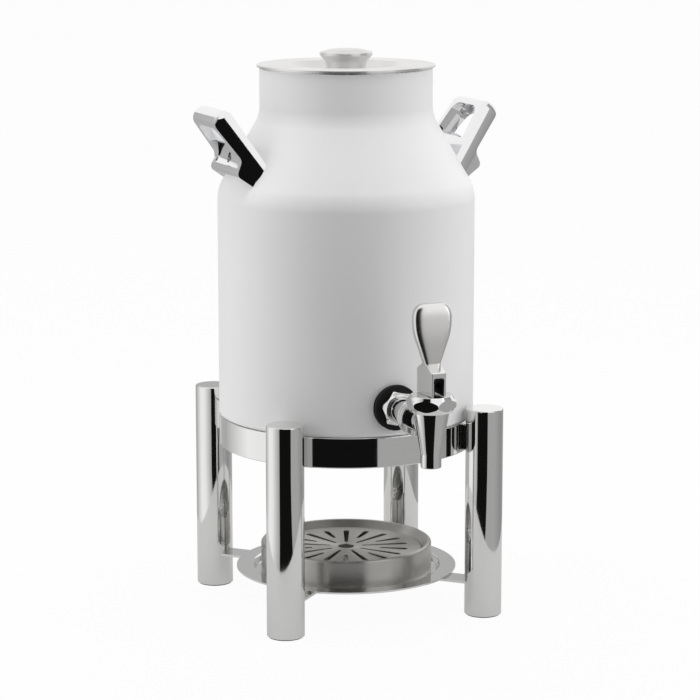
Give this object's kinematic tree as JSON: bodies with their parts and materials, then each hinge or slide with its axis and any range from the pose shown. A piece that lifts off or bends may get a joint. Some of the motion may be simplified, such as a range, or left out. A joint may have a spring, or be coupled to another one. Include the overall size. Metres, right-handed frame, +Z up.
{
  "type": "beverage urn",
  "caption": "Churn-shaped insulated beverage urn on a legged ring stand, with a front lever tap, loop handles, a lift-off lid and a drip tray under a slotted grate.",
  "frame": {"origin": "on the urn's upright axis, at the floor under the feet", "axes": "+Z up, -Y towards the tap, +X to the right-hand handle seen from the tap"},
  "size_m": [0.2598, 0.3168, 0.4844],
  "materials": {
    "white_powder_coat": "fine matt powder coat",
    "polished_steel": "mirror-polished stainless steel",
    "cast_chrome": "polished casting",
    "tap_chrome": "chrome plate",
    "satin_steel": "spun satin",
    "brushed_steel": "brushed",
    "brushed_grate": "brushed",
    "tank_steel": "2B sheet",
    "plain_steel": "plain stainless fasteners",
    "black_rubber": "matt",
    "black_plastic": "matt",
    "white_silicone": "translucent matt",
    "foam": "rigid foam"
  },
  "bodies": {
    "stand": {"leg_front_left": "polished_steel", "leg_front_right": "polished_steel", "leg_rear_left": "polished_steel", "leg_rear_right": "polished_steel", "leg_cap_front_left": "polished_steel", "leg_cap_front_right": "polished_steel", "leg_cap_rear_left": "polished_steel", "leg_cap_rear_right": "polished_steel", "foot_glide_front_left": "black_plastic", "foot_glide_front_right": "black_plastic", "foot_glide_rear_left": "black_plastic", "foot_glide_rear_right": "black_plastic", "support_ring": "polished_steel", "ring_spacers": "polished_steel", "ring_screws": "plain_steel", "ring_nuts": "plain_steel", "tray_arm_front_left": "polished_steel", "tray_arm_front_right": "polished_steel", "tray_arm_rear_left": "polished_steel", "tray_arm_rear_right": "polished_steel", "tray_holder": "polished_steel"},
    "churn": {"outer_shell": "white_powder_coat", "inner_tank": "tank_steel", "insulation": "foam", "base_plate": "tank_steel", "base_screws": "plain_steel", "handle_left": "cast_chrome", "handle_right": "cast_chrome", "handle_screws": "plain_steel", "handle_nuts": "plain_steel", "tap_washer": "black_rubber", "tap_inner_washer": "white_silicone", "tap_back_nut": "plain_steel", "tap_hex_nut": "tap_chrome", "tap_shank": "tap_chrome", "tap_coupling_ring": "tap_chrome", "tap_barrel": "tap_chrome", "tap_bonnet": "tap_chrome", "tap_spring": "plain_steel"},
    "lid": {"lid_plate": "satin_steel", "lid_knob": "satin_steel", "lid_screw": "plain_steel", "lid_washer": "white_silicone", "lid_gasket": "white_silicone"},
    "tap_valve": {"tap_stem": "plain_steel", "tap_seat_cup": "white_silicone"},
    "lever": {"tap_lever": "tap_chrome", "lever_pin": "plain_steel"},
    "tray": {"tray_pan": "brushed_steel"},
    "grate": {"tray_grate": "brushed_grate"}
  },
  "joints": [
    {"name": "churn_lift", "type": "slide", "parent": "stand", "child": "churn", "axis": [0, 0, 1], "range_m": [0, 0.06]},
    {"name": "lid_lift", "type": "slide", "parent": "churn", "child": "lid", "axis": [0, 0, 1], "range_m": [0, 0.06]},
    {"name": "valve_lift", "type": "slide", "parent": "churn", "child": "tap_valve", "axis": [0, 0, 1], "range_m": [0, 0.0065], "deforming": ["tap_spring"]},
    {"name": "lever_tilt", "type": "hinge", "parent": "tap_valve", "child": "lever", "pos_m": [0, -0.1853, 0.2255], "axis": [1, 0, 0], "range_deg": [0, 25], "stiffness_Nm_per_rad": 0.6, "springref_deg": -11.46},
    {"name": "tray_lift", "type": "slide", "parent": "stand", "child": "tray", "axis": [0, 0, 1], "range_m": [0, 0.04]},
    {"name": "grate_lift", "type": "slide", "parent": "tray", "child": "grate", "axis": [0, 0, 1], "range_m": [0, 0.03]}
  ],
  "couplings": [
    {"joint": "valve_lift", "follows": "lever_tilt", "m_per_rad": 0.0145}
  ]
}
